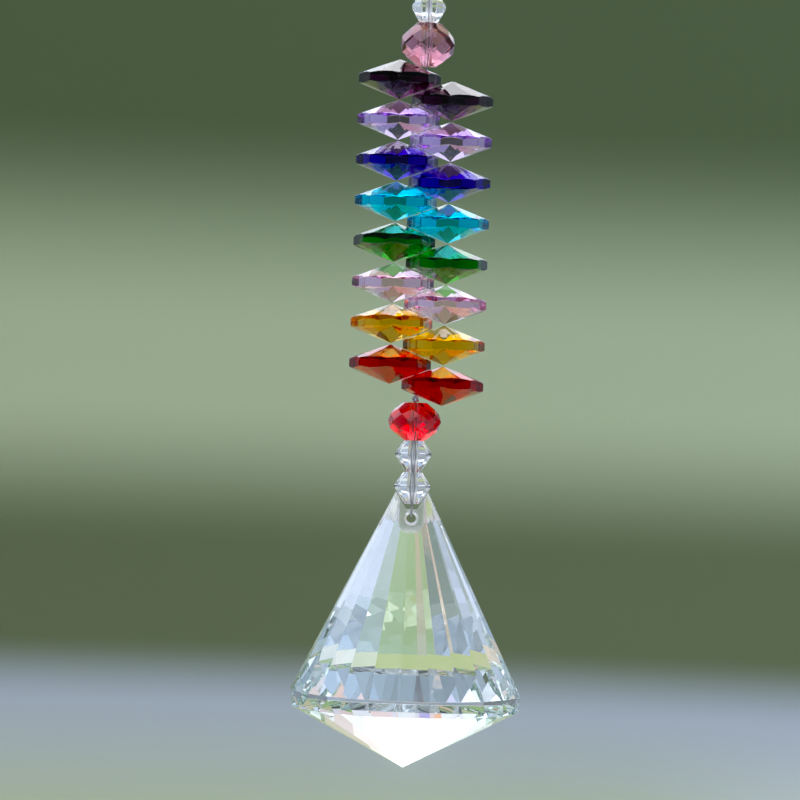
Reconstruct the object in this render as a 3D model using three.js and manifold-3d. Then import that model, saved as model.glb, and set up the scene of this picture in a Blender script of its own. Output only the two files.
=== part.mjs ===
// A crystal suncatcher: octagon beads in pairs of eight colours, faceted rondelles and bicones,
// and a clear pendant, all strung on one steel beading wire that ends in a loop to hang it by.
// Millimetres, +Z up. The origin is where the loop bears on its hook, and the strand hangs down
// the Z axis. The octagons stick out along X, and the pendant's hole runs along Y.

import * as THREE from 'three';
import { mergeVertices } from 'three/addons/utils/BufferGeometryUtils.js';
import Module from 'manifold-3d';

const wasm = await Module();
wasm.setup();

// Beading wire and its crimps
const WIRE_RADIUS = 0.2;
const WIRE_SIDES = 8;
const STRAND_OFFSET = 0.27; // two runs of the wire lie side by side, this far from the axis
const LOOP_RADIUS = 3.9; // middle of the wire in the hanging loop
const LOOP_NECK = { half: 1.3, rise: 2 }; // where the loop opens, above its crimp
const LOOP_STEPS = 60;
const HAIRPIN_STEPS = 90;
const TAIL_INSIDE = 0.3; // from the wire's end to the crimp's rim
const LAP = 0.5; // the three lengths of the tube run into each other by this much
const CRIMP_BORE = 0.6;
const TOP_CRIMP = { radius: 1.0, height: 2.0 };
const LOWER_CRIMP = { radius: 0.8, height: 0.92 };
const CRIMP_EDGE = 0.15; // its rounded rim, as a chamfer

// Octagon beads, each drilled once near a corner
const OCTAGON_APOTHEM = 7.0;
const OCTAGON_HALF = 3.68; // from the middle to a point
const CORNER_EDGE = 0.742; // half the girdle's height at a corner
const SIDE_EDGE = 1.0; // half the girdle's height at the middle of a side
const STAR_RADIUS = 2.75; // where the eight facets of the point begin to part
const HOLE_OFFSET = 4.9;
const BEAD_BORE = 0.65;

// Rondelles: belt apothem, half height, apothem of the flats at the bore, half height of a belt facet
const MAUVE = { apothem: 4.78, half: 4.0, upperFlat: 2.1, lowerFlat: 1.75, belt: 1.5 };
const RED = { apothem: 4.6, half: 3.5, upperFlat: 2.0, lowerFlat: 1.8, belt: 1.4 };
const RONDELLE_BORE = 0.75;
const MAUVE_TURN = 8; // degrees round the wire
const RED_TURN = 12.5;

// Bicones: waist apothem, half height of the waist's belt, height above and below the middle, and
// apothem of the flats at the bore
const BICONE_WAIST = 3.1;
const BICONE_BELT = 0.25;
const TOP_BICONE = { above: 2.7, below: 2.7, upperFlat: 1.6, lowerFlat: 1.75 };
const LOWER_BICONE = { above: 2.55, below: 3.25, upperFlat: 1.65, lowerFlat: 1.3 };

// Pendant, measured from the top of its girdle
const PENDANT_SIDES = 24;
const PENDANT_TURN = 4.75; // degrees from the X axis to a facet
const GIRDLE_APOTHEM = 21.0;
const GIRDLE_HEIGHT = 2.9;
const CROWN_HEIGHT = 36.9;
const CROWN_TOP = 3.0;
const PAVILION_HEIGHT = 11.1;
const WEB_HALF = 1.7; // half the thickness of the glass that the hole goes through
const WEB_TOP = 33.6;
const HOLE_RADIUS = 0.875;
const HOLE_HEIGHT = 32.05;
const HOLE_CHAMFER = 0.45;
const POCKET_HALF_WIDTH = 2.25;
const POCKET_BOTTOM = 29.6;
const POCKET_CORNER = 1.6;
const NOTCH_FLOOR = 1.0; // half the mouth's width at the web, and at the crown's top
const NOTCH_MOUTH = 3.0;

// Heights on the strand
const TOP_CRIMP_Z = -12.15;
const TOP_BICONE_Z = -16;
const MAUVE_Z = TOP_BICONE_Z - 6.85;
const FIRST_OCTAGON_Z = TOP_BICONE_Z - 13.35;
const OCTAGON_STEP = 3.75;
const LOWER_CRIMP_Z = TOP_BICONE_Z - 72.2;
const STRAND_END_Z = TOP_BICONE_Z - 66; // here the wire begins to run double
const RED_Z = TOP_BICONE_Z - 76.3;
const UPPER_BICONE_Z = TOP_BICONE_Z - 82.35;
const LOWER_BICONE_Z = TOP_BICONE_Z - 88.25;
const PENDANT_Z = TOP_BICONE_Z - 126.2;

// Each colour has one bead to the left and one to the right. They hang loose, so each is turned a
// little on the wire and its front edge dips a little (both in degrees).
const OCTAGON_PAIRS = [
  { name: 'purple', colour: 0x3a1030, left: { turn: -1.5, dip: 0 }, right: { turn: -5, dip: 2 } },
  { name: 'lilac', colour: 0xc9b4d8, left: { turn: 1.5, dip: 1.5 }, right: { turn: -5, dip: 1 } },
  { name: 'blue', colour: 0x1c2f8f, left: { turn: 3, dip: 1 }, right: { turn: -5.5, dip: 4.5 } },
  { name: 'aqua', colour: 0x3fc4d8, left: { turn: 5, dip: 1.5 }, right: { turn: 2, dip: 0 } },
  { name: 'green', colour: 0x1c8a3c, left: { turn: -4, dip: -4 }, right: { turn: 4, dip: 0 } },
  { name: 'pink', colour: 0xe6c4d0, left: { turn: 2, dip: 0 }, right: { turn: -1.5, dip: -3.5 } },
  { name: 'gold', colour: 0xd9962a, left: { turn: 5, dip: -4 }, right: { turn: 2, dip: -1 } },
  { name: 'red', colour: 0xb5101c, left: { turn: -3, dip: -3 }, right: { turn: -3.5, dip: -5 } },
];
const MAUVE_COLOUR = 0xb08a90;
const RED_COLOUR = 0xc4121e;
const CLEAR_COLOUR = 0xf2f5f7;
const STEEL_COLOUR = 0x8c8f92;

const EIGHTH_TURN = 22.5; // degrees from a corner of an octagon to the middle of its side
const ROUGH_MARGIN = 2; // how far a rough stone stands out from the finished one
const BORE_SIDES = 16;
const LATHE_SIDES = 24;
const ARC_SEGMENTS = 6;
const WELD = 1e-4;
const { degToRad } = THREE.MathUtils;

// A closed geometry as a solid that can be cut.
function solid(geometry) {
  geometry.deleteAttribute('normal');
  geometry.deleteAttribute('uv');
  const welded = mergeVertices(geometry, WELD);
  return new wasm.Manifold(new wasm.Mesh({
    numProp: 3,
    vertProperties: new Float32Array(welded.attributes.position.array),
    triVerts: new Uint32Array(welded.index.array),
  }));
}

// A solid as a geometry that can be drawn.
function drawn(shape) {
  const { vertProperties, triVerts } = shape.getMesh();
  const geometry = new THREE.BufferGeometry();
  geometry.setAttribute('position', new THREE.BufferAttribute(vertProperties, 3));
  geometry.setIndex(new THREE.BufferAttribute(triVerts, 1));
  geometry.computeVertexNormals();
  return geometry;
}

// The round rough that a stone is cut from, between two heights.
function rough(radius, bottom, top) {
  const blank = new THREE.CylinderGeometry(radius, radius, top - bottom, BORE_SIDES);
  return solid(blank.rotateX(Math.PI / 2).translate(0, 0, (top + bottom) / 2));
}

// Cuts a ring of flat facets round the Z axis. Each facet holds two points of the stone's profile,
// [radius, height] with the upper one first, and the ring starts `turn` degrees from the X axis.
function cutFacets(stone, count, turn, [upperR, upperZ], [lowerR, lowerZ]) {
  const outward = new THREE.Vector2(upperZ - lowerZ, lowerR - upperR).normalize();
  const distance = outward.x * upperR + outward.y * upperZ;
  let cut = stone;
  for (let facet = 0; facet < count; facet += 1) {
    const azimuth = degToRad(turn + (facet * 360) / count);
    const inward = [-outward.x * Math.cos(azimuth), -outward.x * Math.sin(azimuth), -outward.y];
    cut = cut.trimByPlane(inward, -distance);
  }
  return cut;
}

// The same ring above and below the stone's middle.
function cutBothSides(stone, count, turn, [upperR, upperZ], [lowerR, lowerZ]) {
  const above = cutFacets(stone, count, turn, [upperR, upperZ], [lowerR, lowerZ]);
  return cutFacets(above, count, turn, [lowerR, -lowerZ], [upperR, -upperZ]);
}

// A bore along Z, `x` from the stone's axis.
function drill(stone, radius, reach, x = 0) {
  const bit = new THREE.CylinderGeometry(radius, radius, 2 * reach, BORE_SIDES);
  return stone.subtract(solid(bit.rotateX(Math.PI / 2).translate(x, 0, 0)));
}

// Two low eight-sided points back to back, with a star of eight facets at each point, a triangle
// down to each side and a thin girdle. A corner lies on the X axis, and the bore is on its -X side.
function octagonBead() {
  const cornerRadius = OCTAGON_APOTHEM / Math.cos(Math.PI / 8);
  const pointSlope = (OCTAGON_HALF - CORNER_EDGE) / cornerRadius;
  const starHeight = OCTAGON_HALF - pointSlope * Math.cos(Math.PI / 8) * STAR_RADIUS;
  let bead = rough(cornerRadius + ROUGH_MARGIN, -OCTAGON_HALF, OCTAGON_HALF);
  bead = cutFacets(bead, 8, EIGHTH_TURN, [OCTAGON_APOTHEM, 1], [OCTAGON_APOTHEM, -1]);
  bead = cutBothSides(bead, 8, 0, [0, OCTAGON_HALF], [cornerRadius, CORNER_EDGE]);
  bead = cutBothSides(bead, 8, EIGHTH_TURN, [STAR_RADIUS, starHeight], [OCTAGON_APOTHEM, SIDE_EDGE]);
  return drawn(drill(bead, BEAD_BORE, 2 * OCTAGON_HALF, -HOLE_OFFSET));
}

// A fat ring of facets: a belt of eight upright lozenges, eight kites over and under the belt's
// corners, and eight facets that run in to the flat round the bore.
function rondelle({ apothem, half, upperFlat, lowerFlat, belt }) {
  const cornerRadius = apothem / Math.cos(Math.PI / 8);
  const kiteRadius = apothem * Math.cos(Math.PI / 8);
  let bead = rough(cornerRadius + ROUGH_MARGIN, -half, half);
  bead = cutFacets(bead, 8, 0, [apothem, 1], [apothem, -1]);
  bead = cutBothSides(bead, 8, EIGHTH_TURN, [kiteRadius, belt], [cornerRadius, 0]);
  bead = cutFacets(bead, 8, 0, [upperFlat, half], [apothem, belt]);
  bead = cutFacets(bead, 8, 0, [apothem, -belt], [lowerFlat, -half]);
  return drawn(drill(bead, RONDELLE_BORE, 2 * half));
}

// Two eight-sided cones base to base, with a thin belt between them.
function bicone({ above, below, upperFlat, lowerFlat }, turn) {
  let bead = rough(BICONE_WAIST + ROUGH_MARGIN, -below, above);
  bead = cutFacets(bead, 8, turn, [upperFlat, above], [BICONE_WAIST, BICONE_BELT]);
  bead = cutFacets(bead, 8, turn, [BICONE_WAIST, BICONE_BELT], [BICONE_WAIST, -BICONE_BELT]);
  bead = cutFacets(bead, 8, turn, [BICONE_WAIST, -BICONE_BELT], [lowerFlat, -below]);
  return drawn(drill(bead, BEAD_BORE, above + below));
}

// The ground pocket in front of the web: a flat floor and a round-cornered bottom.
function pocketCutter(depth) {
  const outline = new THREE.Shape();
  const side = POCKET_HALF_WIDTH;
  const low = POCKET_BOTTOM;
  const r = POCKET_CORNER;
  outline.moveTo(-side, CROWN_HEIGHT);
  outline.lineTo(-side, low + r);
  outline.absarc(-side + r, low + r, r, Math.PI, 1.5 * Math.PI, false);
  outline.absarc(side - r, low + r, r, 1.5 * Math.PI, 2 * Math.PI, false);
  outline.lineTo(side, CROWN_HEIGHT);
  const cutter = new THREE.ExtrudeGeometry(outline, {
    depth,
    bevelEnabled: false,
    curveSegments: ARC_SEGMENTS,
  });
  return solid(cutter.rotateX(Math.PI / 2).translate(0, -WEB_HALF, 0));
}

// The mouth across the crown's top that the last bicone sits in, down to the web.
function mouthCutter(reach) {
  const outline = new THREE.Shape();
  outline.moveTo(-NOTCH_FLOOR, WEB_TOP);
  outline.lineTo(NOTCH_FLOOR, WEB_TOP);
  outline.lineTo(NOTCH_MOUTH, CROWN_HEIGHT);
  outline.lineTo(-NOTCH_MOUTH, CROWN_HEIGHT);
  const cutter = new THREE.ExtrudeGeometry(outline, { depth: 2 * reach, bevelEnabled: false });
  return solid(cutter.rotateX(Math.PI / 2).translate(0, reach, 0));
}

// The hole through the web, with a chamfer at each face.
function holeCutter(reach) {
  const flare = HOLE_RADIUS + HOLE_CHAMFER;
  const hole = new THREE.LatheGeometry([
    new THREE.Vector2(0, -reach),
    new THREE.Vector2(flare, -reach),
    new THREE.Vector2(flare, -WEB_HALF),
    new THREE.Vector2(HOLE_RADIUS, HOLE_CHAMFER - WEB_HALF),
    new THREE.Vector2(HOLE_RADIUS, WEB_HALF - HOLE_CHAMFER),
    new THREE.Vector2(flare, WEB_HALF),
    new THREE.Vector2(flare, reach),
    new THREE.Vector2(0, reach),
  ], BORE_SIDES);
  return solid(hole.translate(0, 0, HOLE_HEIGHT));
}

// A tall crown, a girdle and a short point. The crown's top is cut to a thin web with the hole.
function pendantDrop() {
  const girdle = GIRDLE_APOTHEM;
  const tip = -GIRDLE_HEIGHT - PAVILION_HEIGHT;
  const sides = PENDANT_SIDES;
  const pocketDepth = girdle / 2;
  let drop = rough(girdle + 2 * ROUGH_MARGIN, tip - ROUGH_MARGIN, CROWN_HEIGHT);
  drop = cutFacets(drop, sides, PENDANT_TURN, [CROWN_TOP, CROWN_HEIGHT], [girdle, 0]);
  drop = cutFacets(drop, sides, PENDANT_TURN, [girdle, 0], [girdle, -GIRDLE_HEIGHT]);
  drop = cutFacets(drop, sides, PENDANT_TURN, [girdle, -GIRDLE_HEIGHT], [0, tip]);
  const front = pocketCutter(pocketDepth);
  drop = drop.subtract(front).subtract(front.rotate([0, 0, 180]));
  drop = drop.subtract(mouthCutter(girdle));
  return drawn(drop.subtract(holeCutter(2 * WEB_HALF)));
}

// A short metal tube with softened rims.
function crimp({ radius, height }) {
  const top = height / 2;
  const profile = [
    [CRIMP_BORE, -top],
    [radius - CRIMP_EDGE, -top],
    [radius, CRIMP_EDGE - top],
    [radius, top - CRIMP_EDGE],
    [radius - CRIMP_EDGE, top],
    [CRIMP_BORE, top],
    [CRIMP_BORE, -top],
  ].map(([r, z]) => new THREE.Vector2(r, z));
  return new THREE.LatheGeometry(profile, LATHE_SIDES).rotateX(Math.PI / 2);
}

// A length of round wire through the given points.
function wireAlong(points, steps) {
  const ring = Array.from({ length: WIRE_SIDES }, (_, side) => {
    const angle = (side * 2 * Math.PI) / WIRE_SIDES;
    return new THREE.Vector2(WIRE_RADIUS * Math.cos(angle), WIRE_RADIUS * Math.sin(angle));
  });
  const extrudePath = new THREE.CatmullRomCurve3(points.map((p) => new THREE.Vector3(...p)));
  return solid(new THREE.ExtrudeGeometry(new THREE.Shape(ring), { extrudePath, steps }));
}

// One wire: its tail in the top crimp, the hanging loop, down through every bead, round the
// pendant's web by its hole, and back up to a tail in the lower crimp.
function beadingWire() {
  const loopMiddle = WIRE_RADIUS - LOOP_RADIUS;
  const crimpTop = TOP_CRIMP_Z + TOP_CRIMP.height / 2;
  const crimpBottom = TOP_CRIMP_Z - TOP_CRIMP.height / 2;
  const neckZ = crimpTop + LOOP_NECK.rise;
  const arc = [];
  for (let angle = -30; angle <= 210; angle += 30) {
    const turn = degToRad(angle);
    arc.push([LOOP_RADIUS * Math.cos(turn), 0, loopMiddle + LOOP_RADIUS * Math.sin(turn)]);
  }
  const loop = wireAlong([
    [STRAND_OFFSET, 0, crimpBottom + TAIL_INSIDE],
    [STRAND_OFFSET, 0, crimpTop],
    [LOOP_NECK.half, 0, neckZ],
    ...arc,
    [-LOOP_NECK.half, 0, neckZ],
    [-STRAND_OFFSET, 0, crimpTop],
    [-STRAND_OFFSET, 0, crimpBottom],
    [0, 0, crimpBottom - LOOP_NECK.rise],
    [0, 0, TOP_BICONE_Z],
  ], LOOP_STEPS);

  const strand = wireAlong([[0, 0, TOP_BICONE_Z + LAP], [0, 0, STRAND_END_Z - LAP]], 2);

  // The run down the front of the web, as distances from the axis and below the strand's end
  const start = [[0, 0], [0, 1.5], [STRAND_OFFSET, 4.5]];
  const front = [
    [STRAND_OFFSET, 14],
    [STRAND_OFFSET, 25.4],
    [0.42, 26.08],
    [0.95, 26.29],
    [1.8, 26.31],
    [2.25, 26.8],
    [2.2, 27.3],
    [1.6, 27.62],
  ];
  const throughHole = [0, 27.68];
  const tail = [STRAND_OFFSET, 5.9];
  const place = (side) => ([out, drop]) => [0, side * out, STRAND_END_Z - drop];
  const hairpin = wireAlong([
    ...[...start, ...front, throughHole].map(place(-1)),
    ...[...front].reverse().map(place(1)),
    place(1)(tail),
  ], HAIRPIN_STEPS);
  return drawn(loop.add(strand).add(hairpin));
}

function crystal(colour) {
  return new THREE.MeshStandardMaterial({ color: colour, roughness: 0.05, transparent: true, opacity: 0.5 });
}

function steel(roughness) {
  return new THREE.MeshStandardMaterial({ color: STEEL_COLOUR, roughness, metalness: 1 });
}

const suncatcher = new THREE.Group();

function hang(name, geometry, material, z, turn = 0) {
  const mesh = new THREE.Mesh(geometry, material);
  mesh.name = name;
  mesh.position.z = z;
  mesh.rotation.z = degToRad(turn);
  suncatcher.add(mesh);
}

hang('beading_wire', beadingWire(), steel(0.4), 0);
hang('top_crimp', crimp(TOP_CRIMP), steel(0.25), TOP_CRIMP_Z);
hang('top_bicone', bicone(TOP_BICONE, 0), crystal(CLEAR_COLOUR), TOP_BICONE_Z);
hang('mauve_rondelle', rondelle(MAUVE), crystal(MAUVE_COLOUR), MAUVE_Z, MAUVE_TURN);

// The octagons alternate down the wire, left and right, each turned about its own hole. A left bead
// faces the other way, so its front dips by the opposite turn.
const octagon = octagonBead();
OCTAGON_PAIRS.forEach(({ name, colour, left, right }, pair) => {
  const beads = [
    { side: 'left', turn: 180 + left.turn, roll: -left.dip },
    { side: 'right', turn: right.turn, roll: right.dip },
  ];
  beads.forEach(({ side, turn, roll }, second) => {
    const turned = new THREE.Group();
    turned.position.z = FIRST_OCTAGON_Z - OCTAGON_STEP * (2 * pair + second);
    turned.rotation.z = degToRad(turn);
    const bead = new THREE.Mesh(octagon, crystal(colour));
    bead.name = `octagon_${name}_${side}`;
    bead.position.x = HOLE_OFFSET;
    bead.rotation.x = degToRad(roll);
    turned.add(bead);
    suncatcher.add(turned);
  });
});

hang('lower_crimp', crimp(LOWER_CRIMP), steel(0.25), LOWER_CRIMP_Z);
hang('red_rondelle', rondelle(RED), crystal(RED_COLOUR), RED_Z, RED_TURN);
hang('upper_bicone', bicone(LOWER_BICONE, EIGHTH_TURN), crystal(CLEAR_COLOUR), UPPER_BICONE_Z);
hang('lower_bicone', bicone(LOWER_BICONE, EIGHTH_TURN), crystal(CLEAR_COLOUR), LOWER_BICONE_Z);
hang('pendant', pendantDrop(), crystal(CLEAR_COLOUR), PENDANT_Z);

export default suncatcher;
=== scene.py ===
# %% [markdown]
# # A crystal suncatcher
# Coloured octagon beads step left and right down a steel beading wire, between faceted rondelles
# and bicones, above a heavy clear pendant. The construction model gives every piece its size and its
# place, so this lesson only has to make them look real: cut glass, ground holes, twisted wire.
# The construction model is loaded first and never changed. Each finished piece is modelled where its
# plain solid is, and then stands for it.

# %% Load the construction model
import math

import bmesh
import bpy
from mathutils import Matrix, Vector
from mathutils.geometry import interpolate_bezier


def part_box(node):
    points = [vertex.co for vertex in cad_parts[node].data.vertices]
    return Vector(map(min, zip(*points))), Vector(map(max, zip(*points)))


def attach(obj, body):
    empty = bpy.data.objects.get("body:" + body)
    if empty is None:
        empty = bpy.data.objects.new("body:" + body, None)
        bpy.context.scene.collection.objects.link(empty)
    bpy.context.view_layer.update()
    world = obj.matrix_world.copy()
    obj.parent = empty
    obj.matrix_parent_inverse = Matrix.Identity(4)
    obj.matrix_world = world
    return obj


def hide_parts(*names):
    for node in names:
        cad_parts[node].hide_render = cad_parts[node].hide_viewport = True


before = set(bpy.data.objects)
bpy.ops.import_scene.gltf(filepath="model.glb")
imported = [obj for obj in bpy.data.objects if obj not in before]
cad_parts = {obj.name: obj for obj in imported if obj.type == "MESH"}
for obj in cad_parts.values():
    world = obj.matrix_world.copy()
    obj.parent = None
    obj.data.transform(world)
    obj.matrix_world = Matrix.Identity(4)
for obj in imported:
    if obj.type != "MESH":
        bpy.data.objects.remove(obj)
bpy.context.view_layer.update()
scene = bpy.context.scene
MM = 0.001
print("construction model:", len(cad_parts), "pieces")

# %% [markdown]
# ## Camera
# The picture was taken level with the lowest octagons, with a long lens that keeps the facets almost
# parallel. The strand hangs plumb, so its slight lean in the picture is the camera's own roll. A
# camera looks along its own -Z axis, so a quarter turn about X stands it up before it is pitched.

# %% Camera
CAMERA_PLACE = Vector((-2.82, -680, -83.8)) * MM
CAMERA_PITCH = math.radians(-0.39)
CAMERA_ROLL = math.radians(2.0)
QUARTER_TURN = math.radians(90)
LENS = 165.9
SENSOR = 36

camera_data = bpy.data.cameras.new("camera")
camera_data.lens = LENS
camera_data.sensor_width = SENSOR
camera = bpy.data.objects.new("camera", camera_data)
aim = Matrix.Rotation(QUARTER_TURN + CAMERA_PITCH, 4, "X")
camera.matrix_world = Matrix.Translation(CAMERA_PLACE) @ aim @ Matrix.Rotation(CAMERA_ROLL, 4, "Z")
scene.collection.objects.link(camera)
scene.camera = camera
print("camera at", [round(x, 3) for x in camera.location])

# %% [markdown]
# ## Grading colours
# Glass has no look of its own: it shows what stands around it. One plain grey all round would leave
# its facets alike, so the stage's paint and the light above it are both graded, as a painted backdrop
# is. A picture could hold the colours, but a few nodes need no file and stay smooth at any size. An
# edge here is a direction, and the two distances along it between which one colour turns into the
# next.

# %% Grading colours
UP = (0, 0, 1)
RIGHT = (1, 0, 0)
FRONT = (0, -1, 0)
BEHIND = (0, 1, 0)


def mix_colours(tree, factor, first, second):
    """A node that runs from one colour, or one socket's colour, to another."""
    mix = tree.nodes.new("ShaderNodeMix")
    mix.data_type = "RGBA"
    tree.links.new(factor, mix.inputs["Factor"])
    for name, value in (("A", first), ("B", second)):
        if isinstance(value, bpy.types.NodeSocket):
            tree.links.new(value, mix.inputs[name])
        else:
            mix.inputs[name].default_value = value
    return mix.outputs["Result"]


def climb(tree, measure, low, high):
    """A number that climbs softly from 0 to 1 as a measure goes from low to high."""
    ramp = tree.nodes.new("ShaderNodeMapRange")
    ramp.interpolation_type = "SMOOTHSTEP"
    ramp.inputs["From Min"].default_value = low
    ramp.inputs["From Max"].default_value = high
    tree.links.new(measure, ramp.inputs["Value"])
    return ramp.outputs["Result"]


def grade(tree, place, edge, first, second):
    """One colour that turns into another across an edge."""
    direction, low, high = edge
    along = tree.nodes.new("ShaderNodeVectorMath")
    along.operation = "DOT_PRODUCT"
    along.inputs[1].default_value = direction
    tree.links.new(place, along.inputs[0])
    return mix_colours(tree, climb(tree, along.outputs["Value"], low, high), first, second)


def grade_out(tree, place, centre, radius, inner, outer):
    """One colour at a point that turns into another at a distance from it."""
    apart = tree.nodes.new("ShaderNodeVectorMath")
    apart.operation = "DISTANCE"
    apart.inputs[1].default_value = centre
    tree.links.new(place, apart.inputs[0])
    return mix_colours(tree, climb(tree, apart.outputs["Value"], 0, radius), inner, outer)


# %% [markdown]
# ## Floor paint
# The pendant's crown looks down at the floor behind the strand, so that part is sage, with a warm
# strip on the left, a cooler one on the right and paler paint further back. In front the floor is a
# slate painted shade on the left that turns into a cool white painted pool of light on the right,
# with pale blue at its far left. Straight below the strand is a pale painted pool of light, for the
# facets that look straight down.

# %% Floor paint
STAGE_FLOOR = -0.42
SAGE_FLOOR = (0.39, 0.55, 0.25, 1)
COOL_SAGE_FLOOR = (0.46, 0.58, 0.58, 1)
COOL_SAGE_EDGE = (RIGHT, 0.07, 0.16)
WARM_FLOOR = (0.74, 0.60, 0.42, 1)
WARM_EDGE = (RIGHT, -0.10, -0.04)
FAR_FLOOR = (0.58, 0.70, 0.34, 1)
FAR_RIGHT_FLOOR = (0.86, 0.94, 0.84, 1)
FAR_RIGHT_EDGE = (RIGHT, 0.12, 0.32)
FAR_EDGE = (BEHIND, 0.40, 0.58)
# Painted shade on the front left of the floor, and a painted pool of light on the front right.
PAINTED_SHADE_FLOOR = (0.25, 0.33, 0.28, 1)
PAINTED_LIGHT_FLOOR = (0.72, 0.82, 0.92, 1)
PAINTED_LIGHT_FLOOR_EDGE = (RIGHT, -0.10, 0.12)
LEFT_FLOOR = (0.70, 0.80, 0.94, 1)
LEFT_EDGE = (RIGHT, -0.24, -0.17)
NEAR_EDGE = (FRONT, -0.05, 0.12)
# A pale painted pool of light on the floor, straight below the strand.
PAINTED_POOL_FLOOR = (0.80, 0.74, 0.84, 1)
PAINTED_POOL_RADIUS = 0.18


def floor_paint(tree, place):
    """Sage behind the strand, slate painted shade to cool white painted light in front, painted light
    below.
    """
    back = grade(tree, place, COOL_SAGE_EDGE, SAGE_FLOOR, COOL_SAGE_FLOOR)
    back = grade(tree, place, WARM_EDGE, WARM_FLOOR, back)
    far = grade(tree, place, FAR_RIGHT_EDGE, FAR_FLOOR, FAR_RIGHT_FLOOR)
    back = grade(tree, place, FAR_EDGE, back, far)
    # In front: painted shade on the left, turning into painted light on the right.
    front_light_and_shade = grade(tree, place, PAINTED_LIGHT_FLOOR_EDGE, PAINTED_SHADE_FLOOR, PAINTED_LIGHT_FLOOR)
    front_light_and_shade = grade(tree, place, LEFT_EDGE, LEFT_FLOOR, front_light_and_shade)
    floor = grade(tree, place, NEAR_EDGE, back, front_light_and_shade)
    # The pale spot below the strand is a painted pool of light.
    return grade_out(tree, place, (0, 0, STAGE_FLOOR), PAINTED_POOL_RADIUS, PAINTED_POOL_FLOOR, floor)


# %% [markdown]
# ## Wall paint
# Behind the strand the wall is banded: a pale horizon, a dark band that the pendant stands out from,
# a band of painted light, a deep one and a pale rim. At each side it is pale, then darker with painted
# shade further forward, and almost black with painted shade at the front corners. The wall in front,
# which the facets mirror, is a dim blue grey that is paler low down.

# %% Wall paint
HORIZON = (0.52, 0.59, 0.66, 1)
LOW_WALL = (0.16, 0.20, 0.11, 1)
LOW_EDGE = (UP, -0.297, -0.255)
# A band of painted light across the wall behind the strand.
PAINTED_LIGHT_WALL = (0.56, 0.64, 0.44, 1)
PAINTED_LIGHT_WALL_EDGE = (UP, -0.20, -0.10)
DEEP_WALL = (0.13, 0.17, 0.09, 1)
DEEP_EDGE = (UP, -0.06, 0.09)
RIM_WALL = (0.60, 0.64, 0.70, 1)
RIM_EDGE = (UP, 0.185, 0.22)
# Painted shade on the side walls further forward.
PAINTED_SHADE_SIDE_WALL = (0.30, 0.33, 0.35, 1)
SIDE_WALL = (0.66, 0.72, 0.80, 1)
SIDE_WALL_EDGE = (BEHIND, 1.3, 1.6)
RIGHT_WALL_EDGE = (RIGHT, 0.40, 0.65)
LEFT_WALL_EDGE = (RIGHT, -0.65, -0.40)
# Near-black painted shade at the front corners.
PAINTED_SHADE_CORNER = (0.05, 0.06, 0.06, 1)
PAINTED_SHADE_CORNER_EDGE = (FRONT, 0.55, 0.90)
FRONT_LEFT_WALL = (0.32, 0.38, 0.42, 1)
FRONT_RIGHT_WALL = (0.42, 0.49, 0.56, 1)
FRONT_MIDDLE = (RIGHT, -0.3, 0.3)
FRONT_LOW_WALL = (0.53, 0.64, 0.77, 1)
FRONT_LOW_EDGE = (UP, -0.15, 0.05)
FRONT_WALL_EDGE = (FRONT, 1.40, 1.60)


def wall_paint(tree, place):
    """Bands behind, one painted light; pale sides, painted shade forward and at the corners; a dim front.
    """
    back = grade(tree, place, LOW_EDGE, HORIZON, LOW_WALL)
    # The band of painted light.
    back = grade(tree, place, PAINTED_LIGHT_WALL_EDGE, back, PAINTED_LIGHT_WALL)
    back = grade(tree, place, DEEP_EDGE, back, DEEP_WALL)
    back = grade(tree, place, RIM_EDGE, back, RIM_WALL)
    # The side walls: pale behind, in painted shade further forward.
    side = grade(tree, place, SIDE_WALL_EDGE, PAINTED_SHADE_SIDE_WALL, SIDE_WALL)
    back = grade(tree, place, RIGHT_WALL_EDGE, back, side)
    back = grade(tree, place, LEFT_WALL_EDGE, side, back)
    front = grade(tree, place, FRONT_MIDDLE, FRONT_LEFT_WALL, FRONT_RIGHT_WALL)
    front = grade(tree, place, FRONT_LOW_EDGE, FRONT_LOW_WALL, front)
    # The front corners in near-black painted shade.
    wall = grade(tree, place, PAINTED_SHADE_CORNER_EDGE, back, PAINTED_SHADE_CORNER)
    return grade(tree, place, FRONT_WALL_EDGE, wall, front)


# %% [markdown]
# ## Stage
# The floor sweeps up into a low wall all round, and above the wall there is only light. Every facet
# then finds something white, something dark and something in between, which is what makes cut glass
# read as cut. A disc whose rim is extruded upwards gives the floor and the wall, a wide bevel gives the
# sweep between them, and one slanting cut leaves the wall lower behind the strand than in front of it.

# %% Stage
STAGE_RADIUS = 1.8
STAGE_SIDES = 96
STAGE_SWEEP = 0.5
SWEEP_STEPS = 16
UNCUT_WALL = 1.0
WALL_TOP_BEHIND = 0.235
WALL_TOP_FRONT = 0.55
WALL_FOOT_EDGE = (UP, STAGE_FLOOR + 0.02, STAGE_FLOOR + 0.14)
PAINT_ROUGHNESS = 0.9
PAINT_SHINE = 0.1


def new_object(name, mesh):
    """An object at the origin that shows this mesh."""
    made = bpy.data.objects.new(name, mesh)
    scene.collection.objects.link(made)
    return made


def stage_paint():
    """A matt paint with the floor's colours below and the wall's above."""
    paint = bpy.data.materials.new("stage paint")
    paint.use_nodes = True
    tree = paint.node_tree
    shader = tree.nodes["Principled BSDF"]
    shader.inputs["Roughness"].default_value = PAINT_ROUGHNESS
    shader.inputs["Specular IOR Level"].default_value = PAINT_SHINE
    place = tree.nodes.new("ShaderNodeTexCoord").outputs["Object"]
    floor = floor_paint(tree, place)
    wall = wall_paint(tree, place)
    tree.links.new(grade(tree, place, WALL_FOOT_EDGE, floor, wall), shader.inputs["Base Color"])
    return paint


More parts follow.
